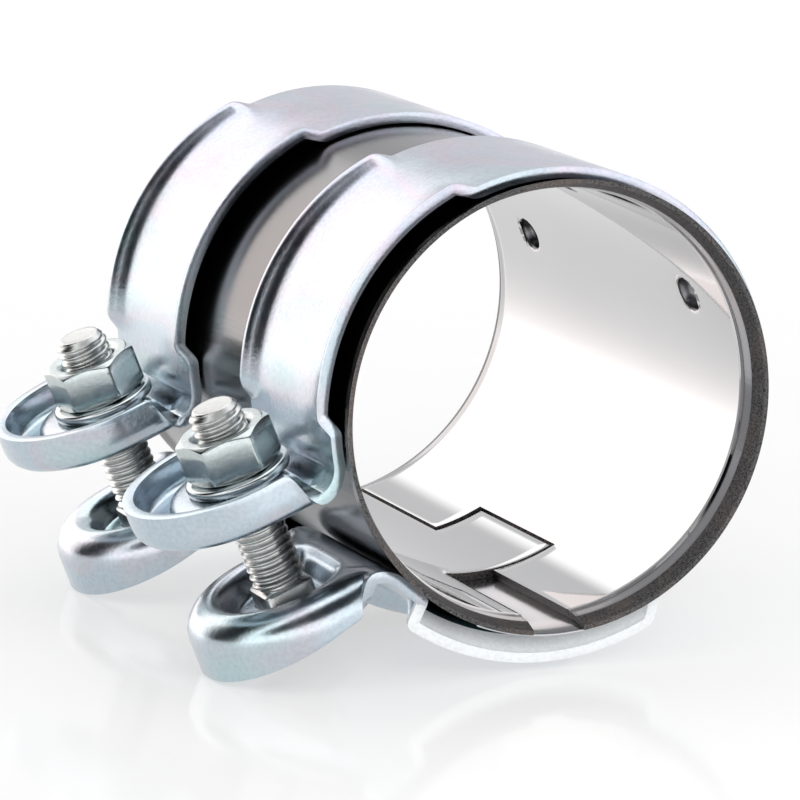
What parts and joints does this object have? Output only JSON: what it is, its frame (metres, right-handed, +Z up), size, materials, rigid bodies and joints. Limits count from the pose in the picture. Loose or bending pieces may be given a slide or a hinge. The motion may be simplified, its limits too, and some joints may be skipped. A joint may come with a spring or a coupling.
{
  "type": "pipe repair clamp",
  "caption": "Split steel sleeve that joins or patches a pipe, drawn tight by band clamps with dished ears, square-neck bolts, washers and nuts.",
  "frame": {"origin": "on the bore axis, half way along the sleeve", "axes": "+Y along the bore toward the rear mouth, +Z up with the clamp lying at rest on its lower ears and lower flanges, ears toward -X"},
  "size_m": [0.0958, 0.094, 0.075],
  "materials": {
    "stainless": "bright polished stainless steel, smooth inside and out",
    "plate_steel": "bare rolled stainless strip",
    "zinc_band": "blue-white zinc plate with a faint pink and blue bloom",
    "zinc_bolt": "zinc-plated steel, slightly warm",
    "zinc_washer": "bright zinc plate",
    "zinc_nut": "zinc-plated steel with softened corners"
  },
  "bodies": {
    "coupler": {"inner_sleeve": "stainless", "seam_plate": "plate_steel", "front_lower_band": "zinc_band", "rear_lower_band": "zinc_band", "front_bolt": "zinc_bolt", "rear_bolt": "zinc_bolt"},
    "front_upper_arm": {"front_upper_band": "zinc_band"},
    "front_washer_ring": {"front_washer": "zinc_washer"},
    "front_nut_body": {"front_nut": "zinc_nut"},
    "rear_upper_arm": {"rear_upper_band": "zinc_band"},
    "rear_washer_ring": {"rear_washer": "zinc_washer"},
    "rear_nut_body": {"rear_nut": "zinc_nut"}
  },
  "joints": [
    {"name": "front_washer_lift", "type": "slide", "parent": "coupler", "child": "front_washer_ring", "axis": [-0.3584, 0, 0.9336], "range_m": [0, 0.00625]},
    {"name": "front_nut_turn", "type": "hinge", "parent": "front_washer_ring", "child": "front_nut_body", "pos_m": [-0.04466, -0.0283, -0.00643], "axis": [-0.3584, 0, 0.9336], "range_deg": [0, 1800]},
    {"name": "front_band_flex", "type": "hinge", "parent": "coupler", "child": "front_upper_arm", "pos_m": [0.02853, -0.0283, 0.02073], "axis": [0, 1, 0], "range_deg": [0, 4.1]},
    {"name": "rear_washer_lift", "type": "slide", "parent": "coupler", "child": "rear_washer_ring", "axis": [-0.3584, 0, 0.9336], "range_m": [0, 0.00625]},
    {"name": "rear_nut_turn", "type": "hinge", "parent": "rear_washer_ring", "child": "rear_nut_body", "pos_m": [-0.04466, 0.0283, -0.00643], "axis": [-0.3584, 0, 0.9336], "range_deg": [0, 1800]},
    {"name": "rear_band_flex", "type": "hinge", "parent": "coupler", "child": "rear_upper_arm", "pos_m": [0.02853, 0.0283, 0.02073], "axis": [0, 1, 0], "range_deg": [0, 4.1]}
  ],
  "couplings": [
    {"joint": "front_washer_lift", "follows": "front_nut_turn", "m_per_rad": 0.00019894},
    {"joint": "front_band_flex", "follows": "front_nut_turn", "ratio": 0.002277},
    {"joint": "rear_washer_lift", "follows": "rear_nut_turn", "m_per_rad": 0.00019894},
    {"joint": "rear_band_flex", "follows": "rear_nut_turn", "ratio": 0.002277}
  ]
}
